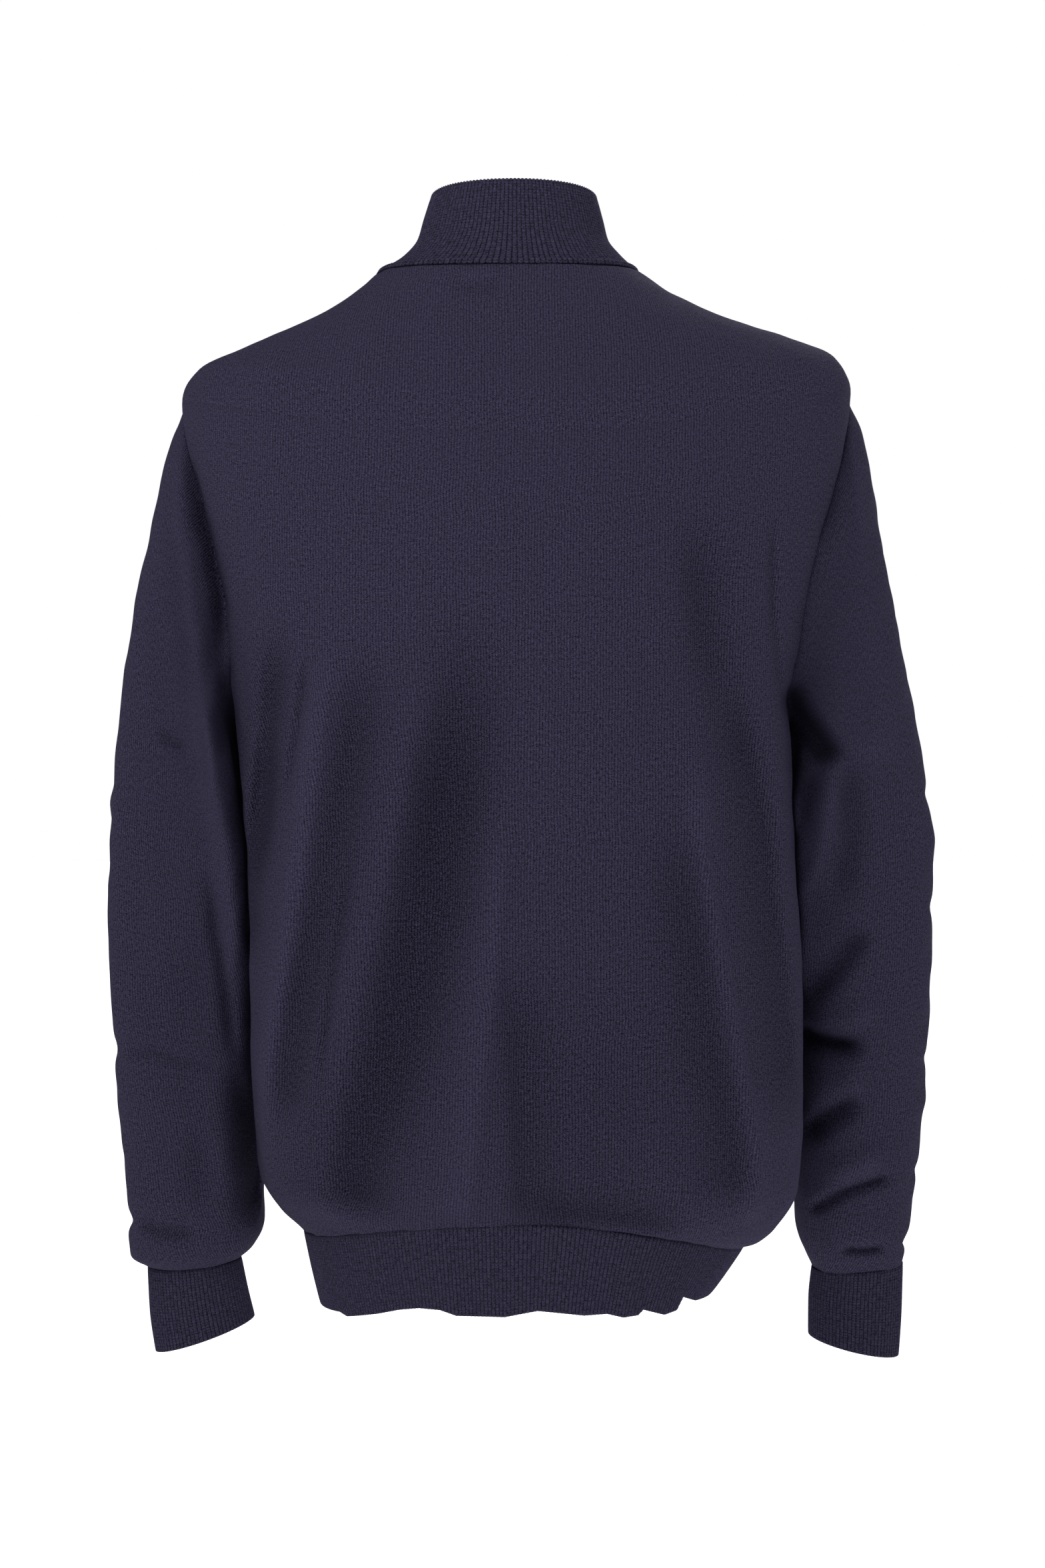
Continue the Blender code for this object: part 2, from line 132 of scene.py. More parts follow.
RIGHT_SLEEVE = (
    (0.2175, -0.076, 0.177, -0.283, -0.008, 0.057, 0.06, 2.0),
    (0.227, -0.102, 0.1822, -0.292, -0.009, 0.058, 0.062, 2.0),
    (0.234, -0.14, 0.1835, -0.303, -0.011, 0.058, 0.063, 2.0),
    (0.243, -0.19, 0.185, -0.32, -0.014, 0.057, 0.063, 2.1),
    (0.254, -0.243, 0.1855, -0.344, -0.018, 0.055, 0.061, 2.1),
    (0.2655, -0.302, 0.1865, -0.376, -0.024, 0.052, 0.059, 2.4),
    (0.2748, -0.364, 0.188, -0.415, -0.03, 0.05, 0.056, 2.5),
    (0.2765, -0.425, 0.189, -0.462, -0.036, 0.048, 0.053, 2.5),
    (0.276, -0.48, 0.1895, -0.506, -0.041, 0.046, 0.05, 2.3),
    (0.2738, -0.532, 0.1893, -0.55, -0.046, 0.043, 0.047, 2.1),
    (0.27, -0.582, 0.1885, -0.592, -0.051, 0.041, 0.044, 2.1),
    (0.2655, -0.622, 0.1905, -0.625, -0.055, 0.038, 0.04, 2.1),
    (0.2632, -0.641, 0.196, -0.6445, -0.057, 0.033, 0.035, 2.1),
    (0.2618, -0.653, 0.202, -0.657, -0.058, 0.0275, 0.0285, 2.0),
)
# The rows over which a sleeve turns from the armhole's edge into a tube.
ARMHOLE_FADE = 3.5
LEFT_CUFF = (
    LEFT_SLEEVE[-1],
    (0.2472, -0.685, 0.1826, -0.673, -0.059, 0.0275, 0.0285, 2.0),
    (0.244, -0.714, 0.1786, -0.692, -0.063, 0.0285, 0.0295, 2.0),
)
RIGHT_CUFF = (
    RIGHT_SLEEVE[-1],
    (0.2615, -0.684, 0.2003, -0.68, -0.061, 0.027, 0.028, 2.0),
    (0.26, -0.717, 0.2005, -0.704, -0.064, 0.028, 0.029, 2.0),
)

# A stitch's height as a share of its width, how far its legs lean, and how far they and the nap
# stand out. Then how fine the yarn's tension varies, and its part in the light and dark fibres.
COURSE_SHARE = 0.75
LEG_LEAN = -1.1
LEG_RELIEF = 0.30
NAP_RELIEF = 0.45
BUMP_STRENGTH = 0.8
TENSION_PER_STITCH = 1.1
TENSION_STRETCH = (1.0, 0.8, 1.0)
TENSION_PART = 0.5
SPOTS_MIDDLE = 0.5 + 0.5 * TENSION_PART

# A rib's height at its ends, over what share of its length it falls to that, and how much of the
# collar's last ring is scalloped.
RIB_END = 0.45
RIB_END_LENGTH = 0.08
SCALLOP_LENGTH = 0.2

# Steps of the grids and of a crease's path, and the degrees between the points that measure a ring.
# The sleeve's columns meet the panels' armhole rows point for point.
PANEL_COLUMNS = 200
ROWS_BELOW_ARMHOLE = 96
SLEEVE_COLUMNS = 128
ROWS_ABOVE_ARMHOLE = 44
SLEEVE_ROWS = 300
COLLAR_ROWS = 44
HEM_ROWS = 22
CUFF_ROWS = 24
COLUMNS_PER_RIB = 4
PATH_STEPS = 8
MEASURE_STEP = 0.5

# The garment's middle from back to front, as height and y. What lies behind it takes the creases of
# the back, and what lies before it those of the front.
MIDDLE = ((-0.66, -0.056), (-0.5, -0.038), (-0.3, -0.018), (-0.1, -0.008), (0.0, 0.0))
MIDDLE_BLEND = 0.026
# How soon the creases of a sleeve's sides die out towards its front and back.
SIDE_BLEND = 0.6

# The creases, in millimetres. height is more than 0 for a ridge and less for a trough. left and
# right are the half widths towards +X and -X of one that runs down, and below and above one that
# runs across, which is listed from +X to -X. start and end are the lengths over which it fades, and
# path is where it runs, as x and z.
CREASE = ("height", "left", "right", "start", "end", "path")
# The half widths from its path at which a crease ends.
CREASE_REACH = 3
BACK_CREASES = (
    # Left half of the back, from the side inwards.
    (-13, 10, 10, 50, 50, ((144, -225), (151, -300), (156, -350), (163, -400))),
    (-10, 5, 12, 50, 40, ((157, -290), (162, -340), (166, -400), (167, -450))),
    (6, 8, 8, 60, 30,
     ((112, -235), (120, -300), (135, -400), (147, -480), (154, -545), (155, -600))),
    (-4.5, 2.5, 3, 25, 25, ((126, -245), (132, -300), (141, -345))),
    (-10, 11, 14, 70, 40, ((88, -235), (96, -300), (114, -400), (132, -480), (143, -545))),
    (4.5, 11, 14, 60, 25,
     ((52, -240), (59, -300), (81, -400), (99, -480), (112, -550), (119, -602))),
    (-4.5, 3, 3, 40, 40, ((97, -365), (105, -420), (113, -480), (118, -520))),
    (-16.5, 28, 24, 140, 22,
     ((20, -205), (33, -300), (49, -400), (69, -480), (94, -550), (100, -594))),
    (5, 16, 7, 70, 22, ((2, -330), (10, -400), (18, -480), (26, -550), (32, -594))),
    (-7, 9, 20, 60, 22, ((-2, -420), (-4, -500), (-8, -594))),
    # Right half, from the middle outwards.
    (-4, 40, 50, 120, 30, ((-40, -400), (-48, -500), (-50, -606))),
    (-5, 6, 15, 25, 25, ((-4, -585), (-40, -581), (-80, -585), (-108, -592))),
    (-8, 24, 9, 80, 25, ((-92, -330), (-107, -400), (-119, -480), (-134, -550), (-137, -585))),
    (4.5, 8, 7, 50, 20, ((-106, -300), (-119, -400), (-133, -480), (-145, -550), (-146, -603))),
    (-2.2, 2.5, 2.5, 25, 25, ((-113, -345), (-124, -400), (-138, -480), (-148, -530))),
    (-8, 17, 15, 60, 60, ((-112, -150), (-116, -210), (-122, -262), (-135, -310))),
    (-11, 24, 9, 50, 50, ((-132, -260), (-150, -350), (-155, -400), (-165, -480), (-171, -550))),
    (-3.5, 4, 3, 30, 25, ((-158, -160), (-158, -212), (-161, -241), (-167, -280))),
    # The pucker under the collar.
    (2.6, 3, 4, 10, 10, ((36, -14), (22, -17), (8, -15))),
    (-2.6, 4, 5, 12, 12, ((40, -23), (22, -27), (4, -23))),
    # The valley between the left sleeve and the body, and the sleeve's edge along it.
    (-13, 6, 6, 70, 50,
     ((213, -106), (206, -130), (199, -156), (192, -182), (187, -209), (185, -240), (184, -268))),
    (-21, 8, 22, 60, 25, ((182, -500), (178, -540), (175, -575), (173, -625))),
    (13, 9, 6, 22, 45, ((191, -266), (188, -298), (185, -330), (182, -362))),
    (17, 11, 3.5, 35, 60,
     ((191, -255), (188, -285), (185, -315), (182, -345), (178, -385), (176, -425), (175, -475))),
    # Left sleeve.
    (3, 5, 5, 40, 40,
     ((215, -84), (213, -120), (212, -159), (206, -190), (202, -220), (198, -256), (196, -289))),
    (-2.5, 3, 3, 15, 15, ((199, -268), (196, -298), (197, -318))),
    (-4, 4, 4, 10, 10, ((229, -297), (214, -304), (204, -309))),
    (-3.5, 4, 4, 10, 12, ((201, -310), (195, -321), (193, -330))),
    (-6, 4, 4, 50, 30, ((198, -375), (195, -412), (190, -447), (186, -482), (182, -512))),
    (-2.5, 4, 5, 15, 15, ((256, -505), (233, -503), (215, -511), (188, -512))),
    (-3.5, 9, 9, 30, 25, ((206, -545), (207, -612))),
    (-2.5, 12, 12, 40, 40, ((207, -420), (206, -500))),
    (-4.5, 5, 7, 12, 12, ((252, -617), (234, -623), (208, -626))),
    # Right sleeve, from the shoulder down.
    (2.5, 5, 5, 40, 40, ((-217, -77), (-215, -109), (-217, -136), (-220, -175), (-222, -205))),
    (-2.5, 6, 6, 30, 30, ((-203, -125), (-198, -156), (-192, -182))),
    (-26, 10, 4, 14, 12, ((-174, -262), (-184, -280), (-195, -298), (-208, -317))),
    (15, 3.5, 10, 30, 40, ((-184, -325), (-185, -370), (-187, -415), (-188, -470))),
    (-7, 4, 4, 25, 30, ((-197, -315), (-193, -345), (-190, -375))),
    (4.5, 5, 5, 25, 25, ((-201, -318), (-203, -342), (-200, -370), (-194, -405))),
    (-7.5, 6, 8, 30, 30, ((-211, -308), (-216, -345), (-216, -375), (-211, -415))),
    (5, 13, 13, 20, 30, ((-222, -292), (-229, -330))),
    (-10, 5, 10, 22, 18, ((-192, -474), (-204, -462), (-217, -443), (-228, -420))),
    (4, 7, 7, 15, 15, ((-190, -480), (-212, -484), (-238, -472))),
    (-17, 7, 5, 10, 16, ((-184, -490), (-204, -497), (-230, -502))),
    (4, 10, 10, 15, 15, ((-188, -526), (-210, -527), (-232, -522))),
    (-10, 8, 7, 16, 16, ((-190, -566), (-205, -549), (-228, -532))),
    (4.5, 8, 8, 15, 15, ((-200, -588), (-230, -577), (-245, -570))),
    (-6.5, 3.5, 4, 12, 12, ((-195, -616), (-212, -601), (-225, -595), (-250, -588))),
    (-5.5, 3.5, 4, 10, 10, ((-214, -637), (-232, -638), (-248, -636))),
)
FRONT_CREASES = (
    (-9, 12, 14, 90, 30, ((52, -215), (68, -300), (84, -400), (104, -500), (116, -590))),
    (4.5, 6, 7, 60, 30, ((92, -235), (108, -330), (126, -440), (140, -560), (136, -610))),
    (-5, 9, 9, 60, 50, ((122, -225), (140, -320), (152, -430), (158, -520))),
    (4, 5, 6, 60, 30, ((76, -340), (92, -430), (108, -520), (116, -605))),
    (-3, 4, 4, 40, 40, ((90, -350), (104, -430), (120, -510))),
    (-8, 12, 12, 80, 30, ((-62, -205), (-78, -300), (-98, -400), (-112, -500), (-118, -590))),
    (4.5, 6, 6, 60, 30, ((-96, -250), (-112, -350), (-130, -460), (-142, -560), (-138, -618))),
    (-5, 9, 10, 60, 50, ((-124, -240), (-142, -330), (-156, -440), (-164, -530))),
    (3, 5, 5, 50, 25, ((-60, -390), (-72, -470), (-80, -600))),
    (-4.5, 11, 11, 60, 25, ((-6, -400), (-14, -490), (-20, -600))),
    (2.5, 9, 7, 50, 25, ((22, -430), (28, -510), (34, -605))),
    (2, 8, 8, 30, 30, ((60, -95), (20, -118), (-20, -118), (-58, -96))),
    (-2, 8, 8, 30, 30, ((48, -122), (0, -140), (-48, -122))),
    (-14, 6, 7, 60, 40, ((199, -150), (190, -200), (186, -260), (182, -330))),
    (-14, 7, 6, 60, 40, ((-182, -330), (-186, -260), (-190, -200), (-199, -150))),
    (-5, 5, 5, 18, 18, ((250, -330), (222, -345), (196, -352))),
    (3.5, 8, 8, 18, 18, ((252, -352), (225, -368), (198, -372))),
    (-7, 6, 6, 18, 18, ((252, -385), (224, -396), (192, -392))),
    (3, 9, 9, 18, 18, ((255, -410), (225, -420), (192, -418))),
    (-4, 6, 7, 18, 18, ((254, -440), (226, -446), (190, -436))),
    (-3, 9, 9, 40, 30, ((214, -480), (216, -610))),
    (-4.5, 5, 5, 14, 14, ((248, -618), (222, -622), (196, -616))),
    (-5, 5, 5, 18, 18, ((-196, -342), (-226, -338), (-256, -324))),
    (3.5, 8, 8, 18, 18, ((-194, -366), (-226, -362), (-260, -350))),
    (-8, 6, 6, 18, 18, ((-192, -398), (-228, -392), (-262, -376))),
    (3.5, 9, 9, 18, 18, ((-192, -424), (-228, -420), (-264, -408))),
    (-6, 6, 7, 18, 18, ((-194, -455), (-230, -448), (-264, -440))),
    (-6, 6, 6, 16, 16, ((-196, -560), (-222, -566), (-250, -558))),
    (3.5, 8, 8, 16, 16, ((-198, -586), (-225, -590), (-250, -584))),
    (-5, 5, 5, 14, 14, ((-204, -618), (-228, -622), (-250, -616))),
)

# The creases of the sleeves' inner sides, and then of their outer sides, with y in place of x.
# Below the armhole each sleeve leans towards the body and stays just clear of it.
LEFT_INNER_CREASES = (
    (8, 15, 15, 30, 60, ((-44, -268), (-46, -310), (-50, -370), (-54, -430))),
    (2.9, 20, 15, 40, 60, ((10, -285), (8, -330), (4, -390), (0, -450), (-4, -500))),
    (1.5, 20, 15, 30, 50, ((10, -285), (8, -330), (4, -390), (2, -425))),
)
RIGHT_INNER_CREASES = (
    (9, 15, 15, 30, 60, ((-44, -262), (-46, -310), (-50, -370), (-54, -420))),
    (7, 20, 15, 40, 60, ((6, -300), (4, -340), (0, -390), (-4, -450), (-8, -500))),
)
LEFT_SIDE_CREASES = (
    (-2.2, 7, 7, 30, 30, ((12, -150), (2, -230))),
    (2, 8, 8, 30, 30, ((-20, -170), (-28, -280))),
    (-3, 6, 6, 16, 16, ((14, -300), (-20, -318), (-52, -322))),
    (2.5, 8, 8, 16, 16, ((12, -335), (-24, -350), (-54, -352))),
    (-3, 6, 6, 16, 16, ((6, -380), (-30, -398), (-60, -398))),
    (-2.5, 6, 6, 16, 16, ((0, -500), (-34, -508), (-68, -502))),
    (-2.5, 8, 8, 30, 30, ((-44, -530), (-48, -605))),
    (-3, 5, 6, 12, 12, ((-22, -618), (-52, -624), (-80, -618))),
)
RIGHT_SIDE_CREASES = (
    (-2.2, 7, 7, 30, 30, ((10, -140), (0, -220))),
    (-2, 6, 6, 16, 16, ((8, -330), (-24, -340), (-58, -330))),
    (1.5, 9, 9, 16, 16, ((6, -362), (-26, -372), (-60, -362))),
    (-1.6, 6, 6, 16, 16, ((4, -405), (-30, -412), (-64, -398))),
    (-1.5, 6, 6, 16, 16, ((-2, -520), (-40, -512), (-74, -520))),
    (1.5, 8, 8, 16, 16, ((-6, -548), (-42, -542), (-76, -550))),
    (-1.5, 5, 5, 14, 14, ((-20, -592), (-50, -588), (-80, -596))),
    (-3, 4, 5, 12, 12, ((-34, -636), (-58, -638), (-84, -636))),
)

# The camera's place, its focal length and sensor's width in millimetres, and the point that the
# lights face.
CAMERA_PLACE = (-0.0048, 1.42, -0.3296)
FOCAL_LENGTH = 50
SENSOR_WIDTH = 36
STAGE_MIDDLE = (0.0, 0.0, -0.33)
# The studio's large screens: degrees round from the front (90 is the left, 180 the back), degrees
# up, distance and width in metres, and power as a share of the key light.
SCREENS = (
    ("back_screen", 154, 40, 1.8, 0.9, 1.0),
    ("right_screen", 225, 24, 2.0, 1.2, 0.2),
    ("front_screen", -26, 40, 1.8, 0.9, 0.8),
)
# Even light from far away: degrees round and up in the same way, and its share of the rim light.
DISTANT_LIGHTS = (
    ("left_rim", 62, 30, 1.1),
    ("right_rim", -70, 34, 1.8),
    ("overhead", 180, 80, 0.8),
)
DISTANT = 3.0
FLOOR_WIDTH = 60
FLOOR_ROUGHNESS = 0.9
FLOOR_GLOW = 0.75

# Soft unevenness all over the cloth: how high each long wave is, the shortest and the longest, how
# they run and push along x, y and z, and how fast short ones shrink.
UNEVEN_HEIGHT = 0.26421 * MM
UNEVEN_SHORT = 0.016
UNEVEN_LONG = 0.070
UNEVEN_RUN = (1, 1, 0.55)
UNEVEN_PUSH = (1, 1, 0.3)
UNEVEN_SHRINK = 0.7
UNEVEN_WAVES = 26
UNEVEN_SEED = 11

# A seam's groove, and the heights of folds between which the colour's painted shade follows them:
# darker in a trough, lighter on a ridge.
GROOVE_DEPTH = 0.9 * MM
GROOVE_WIDTH = 1.7 * MM
FOLD_SHADE_RANGE = (-15 * MM, 5 * MM)

# The chain of loops that links the collar to the body: how far it stands out, how far its middle is
# above the seam, and its half width.
LINK_HEIGHT = 1.4 * MM
LINK_PLACE = 2.2 * MM
LINK_WIDTH = 1.5 * MM

# Where the body blouses over the hem rib, as x and how far it hangs over it, and the front's share.
# It starts and ends softly, counted in rings from the seam.
BLOUSE = (
    (-0.2, 0.002), (-0.13, 0.004), (-0.08, 0.0045), (-0.035, 0.002), (0.0, 0.0), (0.14, 0.0),
    (0.2, 0.002),
)
BLOUSE_FRONT = 0.6
BLOUSE_START = 0.5
BLOUSE_END = 2.6
BLOUSE_FADE = 1.8

# The uneven lower edge of the hem rib, as x and how far it lies above its even line.
HEM_EDGE = (
    (-0.13, 0.006), (-0.113, 0.0055), (-0.1045, 0.009), (-0.10, 0.001), (-0.092, -0.0013),
    (-0.0785, 0.0024), (-0.075, -0.001), (-0.066, -0.0023), (-0.056, 0.0), (-0.042, -0.0011),
    (-0.014, 0.0015), (0.006, -0.0023), (0.035, -0.0011), (0.045, 0.0026), (0.058, 0.004),
    (0.07, 0.0032), (0.084, 0.0007), (0.104, -0.0018), (0.109, 0.0005), (0.13, 0.001),
)
HEM_EDGE_FRONT = (
    (-0.13, 0.006), (-0.08, 0.003), (-0.03, -0.001), (0.03, 0.0015), (0.09, -0.001), (0.13, 0.001),
)


def linear(colour):
    """An sRGB hex colour as linear red, green and blue."""
    channels = [int(colour[i:i + 2], 16) / 255 for i in (0, 2, 4)]
    return tuple(c / 12.92 if c <= 0.04045 else ((c + 0.055) / 1.055) ** 2.4 for c in channels)


# Wool scatters light from millions of scaly fibres, so it has next to no gloss, and a faint sheen.
WOOL_FINISH = {
    "Roughness": 0.95,
    "IOR": 1.54,
    "Specular IOR Level": 0.02,
    "Sheen Weight": 0.012,
    "Sheen Roughness": 0.4,
    "Sheen Tint": (*linear("CFC8FF"), 1),
}


class SweaterKnit(bpy.types.PropertyGroup):
    """Sizes and colours of the knitting."""

    thickness: FloatProperty(
        name="Cloth thickness", description="Thickness of the jersey and the rib",
        default=0.0014, min=0.001, precision=4, unit="LENGTH",
    )
    wale: FloatProperty(
        name="Wale spacing", description="Distance between two columns of stitches in the jersey",
        default=0.0018, min=0.0008, precision=4, unit="LENGTH",
    )
    collar_rib: FloatProperty(
        name="Collar rib", description="Distance between two ribs at the collar's upper edge",
        default=0.0026, min=0.001, precision=4, unit="LENGTH",
    )
    hem_rib: FloatProperty(
        name="Hem rib", description="Distance between two ribs at the hem",
        default=0.0023, min=0.001, precision=4, unit="LENGTH",
    )
    cuff_rib: FloatProperty(
        name="Cuff rib", description="Distance between two ribs at the cuffs",
        default=0.0025, min=0.001, precision=4, unit="LENGTH",
    )
    rib_depth: FloatProperty(
        name="Rib depth", description="How far a rib stands above the middle of the cloth",
        default=0.00028, min=0.0, precision=5, unit="LENGTH",
    )
    creasing: FloatProperty(
        name="Creasing", description="How deep the creases are, as a share of those shown",
        default=1.0, min=0.0, max=1.2, subtype="FACTOR",
    )
    dark_yarn: FloatVectorProperty(
        name="Dark fibres", description="Colour of the darker fibres in the yarn",
        default=linear("100F17"), min=0.0, max=1.0, subtype="COLOR",
    )
    light_yarn: FloatVectorProperty(
        name="Light fibres", description="Colour of the lighter fibres in the yarn",
        default=linear("444058"), min=0.0, max=1.0, subtype="COLOR",
    )
    # Painted shade: the colour is darkened down in a fold and lightened on its ridge, by this much
    # for each millimetre.
    fold_shade: FloatProperty(
        name="Fold shade",
        description="How much darker the cloth is for each millimetre of a fold's depth",
        default=0.014, min=0.0,
    )


class SweaterStage(bpy.types.PropertyGroup):
    """The floor and the light round the sweater."""

    floor_z: FloatProperty(
        name="Floor height", description="Height of the floor", default=-1.45, unit="LENGTH",
    )
    floor_colour: FloatVectorProperty(
        name="Floor", description="Colour of the floor",
        default=linear("FAFAFA"), min=0.0, max=1.0, subtype="COLOR",
    )
    ambient: FloatProperty(
        name="Ambient light", description="Light from all round", default=0.08, min=0.0,
    )
    key_light: FloatProperty(
        name="Key light", description="Power of the brightest screen, in watts",
        default=21.5, min=0.0,
    )
    rim_light: FloatProperty(
        name="Rim light", description="Strength of the distant lights", default=0.62, min=0.0,
    )
    softness: FloatProperty(
        name="Softness", description="How wide each distant light is, in degrees",
        default=22.0, min=0.0,
    )


# Forms ----------


def read_rows(columns, rows, at):
    """Every column at the places `at`, counted in rows, on a curve that never overshoots them."""
    table = np.array(rows, dtype=float)
    steps = np.diff(table, axis=0)
    before, after = steps[:-1], steps[1:]
    same_way = before * after > 0
    total = np.where(same_way, before + after, 1.0)
    inner = np.where(same_way, 2 * before * after / total, 0.0)
    slopes = np.vstack([steps[:1], inner, steps[-1:]])
    at = np.clip(np.asarray(at, dtype=float), 0, len(rows) - 1)
    row = np.minimum(at.astype(int), len(rows) - 2)
    t = (at - row)[..., None]
    values = (
        (2 * t**3 - 3 * t**2 + 1) * table[row]
        + (t**3 - 2 * t**2 + t) * slopes[row]
        + (3 * t**2 - 2 * t**3) * table[row + 1]
        + (t**3 - t**2) * slopes[row + 1]
    )
    return SimpleNamespace(**{name: values[..., i] for i, name in enumerate(columns)})


def smooth(share):
    """0 below 0, 1 above 1, and a soft step between."""
    share = np.clip(share, 0, 1)
    return share * share * (3 - 2 * share)


def rounded(sine, cosine, square):
    """The factor that turns an ellipse into an oval of the power `square`."""
    return (np.abs(sine) ** square + np.abs(cosine) ** square) ** (-1 / square)


def ring_points(rings, at, angle):
    """Points on a stack of rings, at ring positions `at` and angles in degrees."""
    at, angle = np.broadcast_arrays(np.asarray(at, float), np.asarray(angle, float))
    ring = read_rows(RING, rings, at)
    sine, cosine = np.sin(np.radians(angle)), np.cos(np.radians(angle))
    grow = rounded(sine, cosine, ring.square)
    x = np.where(sine >= 0, ring.left, ring.right) * sine * grow
    reach = np.where(cosine >= 0, ring.back - ring.side_y, ring.front + ring.side_y)
    y = ring.side_y + reach * cosine * grow
    side_z = np.where(sine >= 0, ring.left_z, ring.right_z)
    middle_z = np.where(cosine >= 0, ring.back_z, ring.front_z)
    z = side_z * sine**2 + middle_z * cosine**2
    return np.stack([x, y, z], axis=-1)


def seam_angle(at):
    """Angle of the side seam, then of the armhole's middle, then of the shoulder seam."""
    share = np.clip((at - UNDERARM_RING) / (SHOULDER_TIP_RING - UNDERARM_RING), 0, 1)
    return SIDE_SEAM + (SHOULDER_SEAM - SIDE_SEAM) * share


def armhole_ring(turn):
    """Ring position of the armhole's edge. A turn of 0 is the shoulder tip, 180 the underarm."""
    return ARMHOLE_MIDDLE + (SHOULDER_TIP_RING - ARMHOLE_MIDDLE) * np.cos(np.radians(turn))


def armhole_width(at):
    """How wide the armhole is open at a ring, from 0 at its ends to 1 in the middle."""
    share = (np.asarray(at, float) - ARMHOLE_MIDDLE) / (SHOULDER_TIP_RING - ARMHOLE_MIDDLE)
    return np.sqrt(np.clip(1 - share**2, 0, None))


def armhole_points(side):
    """The armhole's edge, a point for each column of the sleeve. side is +1 on the left."""
    turn = np.arange(SLEEVE_COLUMNS) * 360 / SLEEVE_COLUMNS
    at = armhole_ring(turn)
    reach = np.where(np.sin(np.radians(turn)) >= 0, -ARMHOLE_BACK, ARMHOLE_FRONT)
    angle = seam_angle(at) + reach * armhole_width(at)
    return ring_points(BODY_RINGS, at, side * angle)


def unit(vectors):
    """The vectors, each made one long."""
    length = np.linalg.norm(vectors, axis=-1, keepdims=True)
    return vectors / np.maximum(length, 1e-9)


def grid_normals(grid, closed=False):
    """Outward direction at each point of a grid. On the right sleeve and cuff it is inward."""
    if closed:
        across = np.roll(grid, -1, axis=1) - np.roll(grid, 1, axis=1)
    else:
        across = np.gradient(grid, axis=1)
    upward = np.gradient(grid, axis=0)
    return unit(np.cross(upward, across))


def panel_grid(front):
    """The back or the front, from the hem rib's seam to the neck seam."""
    below = UNDERARM_RING * np.linspace(0, 1, ROWS_BELOW_ARMHOLE, endpoint=False)
    beside = armhole_ring(np.linspace(180, 0, SLEEVE_COLUMNS // 2 + 1))
    neck = len(BODY_RINGS) - 1
    above = np.linspace(SHOULDER_TIP_RING, neck, ROWS_ABOVE_ARMHOLE + 1)[1:]
    at = np.concatenate([below, beside, above])[:, None]
    share = np.linspace(-1, 1, PANEL_COLUMNS + 1)[None, :]
    seam = 180 - seam_angle(at) if front else seam_angle(at)
    armhole = (ARMHOLE_FRONT if front else ARMHOLE_BACK) * armhole_width(at)
    angle = share * seam - np.sign(share) * np.abs(share) ** ARMHOLE_CROWDING * armhole
    angle = angle + (180 if front else 0)
    return ring_points(BODY_RINGS, at, angle)


def arm_points(rows, at, side, turn):
    """Points on a sleeve or a cuff. A turn of 0 is its outer line, 90 its back, 180 the inner."""
    arm = read_rows(SLEEVE, rows, at[:, None])
    sine, cosine = np.sin(np.radians(turn)), np.cos(np.radians(turn))
    grow = rounded(sine, cosine, arm.square)
    out = cosine * grow
    x = (arm.outer + arm.inner) / 2 + (arm.outer - arm.inner) / 2 * out
    z = (arm.outer_z + arm.inner_z) / 2 + (arm.outer_z - arm.inner_z) / 2 * out
    y = arm.mid_y + np.where(sine >= 0, arm.back, arm.front) * sine * grow
    return np.stack([side * x, y, z], axis=-1)


def sleeve_grid(rows, side):
    """A sleeve, whose first ring is the armhole's edge."""
    turn = np.arange(SLEEVE_COLUMNS) * 360 / SLEEVE_COLUMNS
    at = np.linspace(0, len(rows) - 1, SLEEVE_ROWS)
    grid = arm_points(rows, at, side, turn)
    fade = np.clip(1 - at / ARMHOLE_FADE, 0, 1)[:, None, None] ** 2
    return grid + (armhole_points(side) - grid[0]) * fade


# Creases ----------


def smooth_path(points):
    """A Catmull-Rom curve through a path's points, as a polyline."""
    points = np.array(points, dtype=float)
    points = np.vstack([2 * points[0] - points[1], points, 2 * points[-1] - points[-2]])
    t = np.arange(PATH_STEPS)[:, None] / PATH_STEPS
    parts = [
        0.5 * (2 * b + (c - a) * t + (2 * a - 5 * b + 4 * c - d) * t**2
               + (3 * b - a - 3 * c + d) * t**3)
        for a, b, c, d in zip(points, points[1:], points[2:], points[3:])
    ]
    return np.vstack([*parts, points[-2:-1]])


def crease_heights(place, rows):
    """Height of all creases together at each place in a plane, which is in metres."""
    flat = place.reshape(-1, 2) / MM
    total = np.zeros(len(flat))
    for row in rows:
        crease = SimpleNamespace(**dict(zip(CREASE, row)))
        line = smooth_path(crease.path)
        reach = CREASE_REACH * max(crease.left, crease.right)
        low, high = line.min(axis=0) - reach, line.max(axis=0) + reach
        near = np.all((flat > low) & (flat < high), axis=1)
        run = np.diff(line, axis=0)
        length = np.linalg.norm(run, axis=1)
        away = flat[near][:, None] - line[:-1]
        t = np.clip((away * run).sum(axis=-1) / length**2, 0, 1)
        away = away - t[..., None] * run
        distance = np.linalg.norm(away, axis=-1)
        nearest = distance.argmin(axis=1)
        pick = np.arange(len(nearest)), nearest
        along = (np.cumsum(length) - length)[nearest] + t[pick] * length[nearest]
        turned = run[nearest, 0] * away[pick][:, 1] - run[nearest, 1] * away[pick][:, 0]
        width = np.where(turned > 0, crease.left, crease.right)
        fade = smooth(along / crease.start) * smooth((length.sum() - along) / crease.end)
        total[near] += crease.height * np.exp(-((distance[pick] / width) ** 2)) * fade
    return total.reshape(place.shape[:-1]) * MM


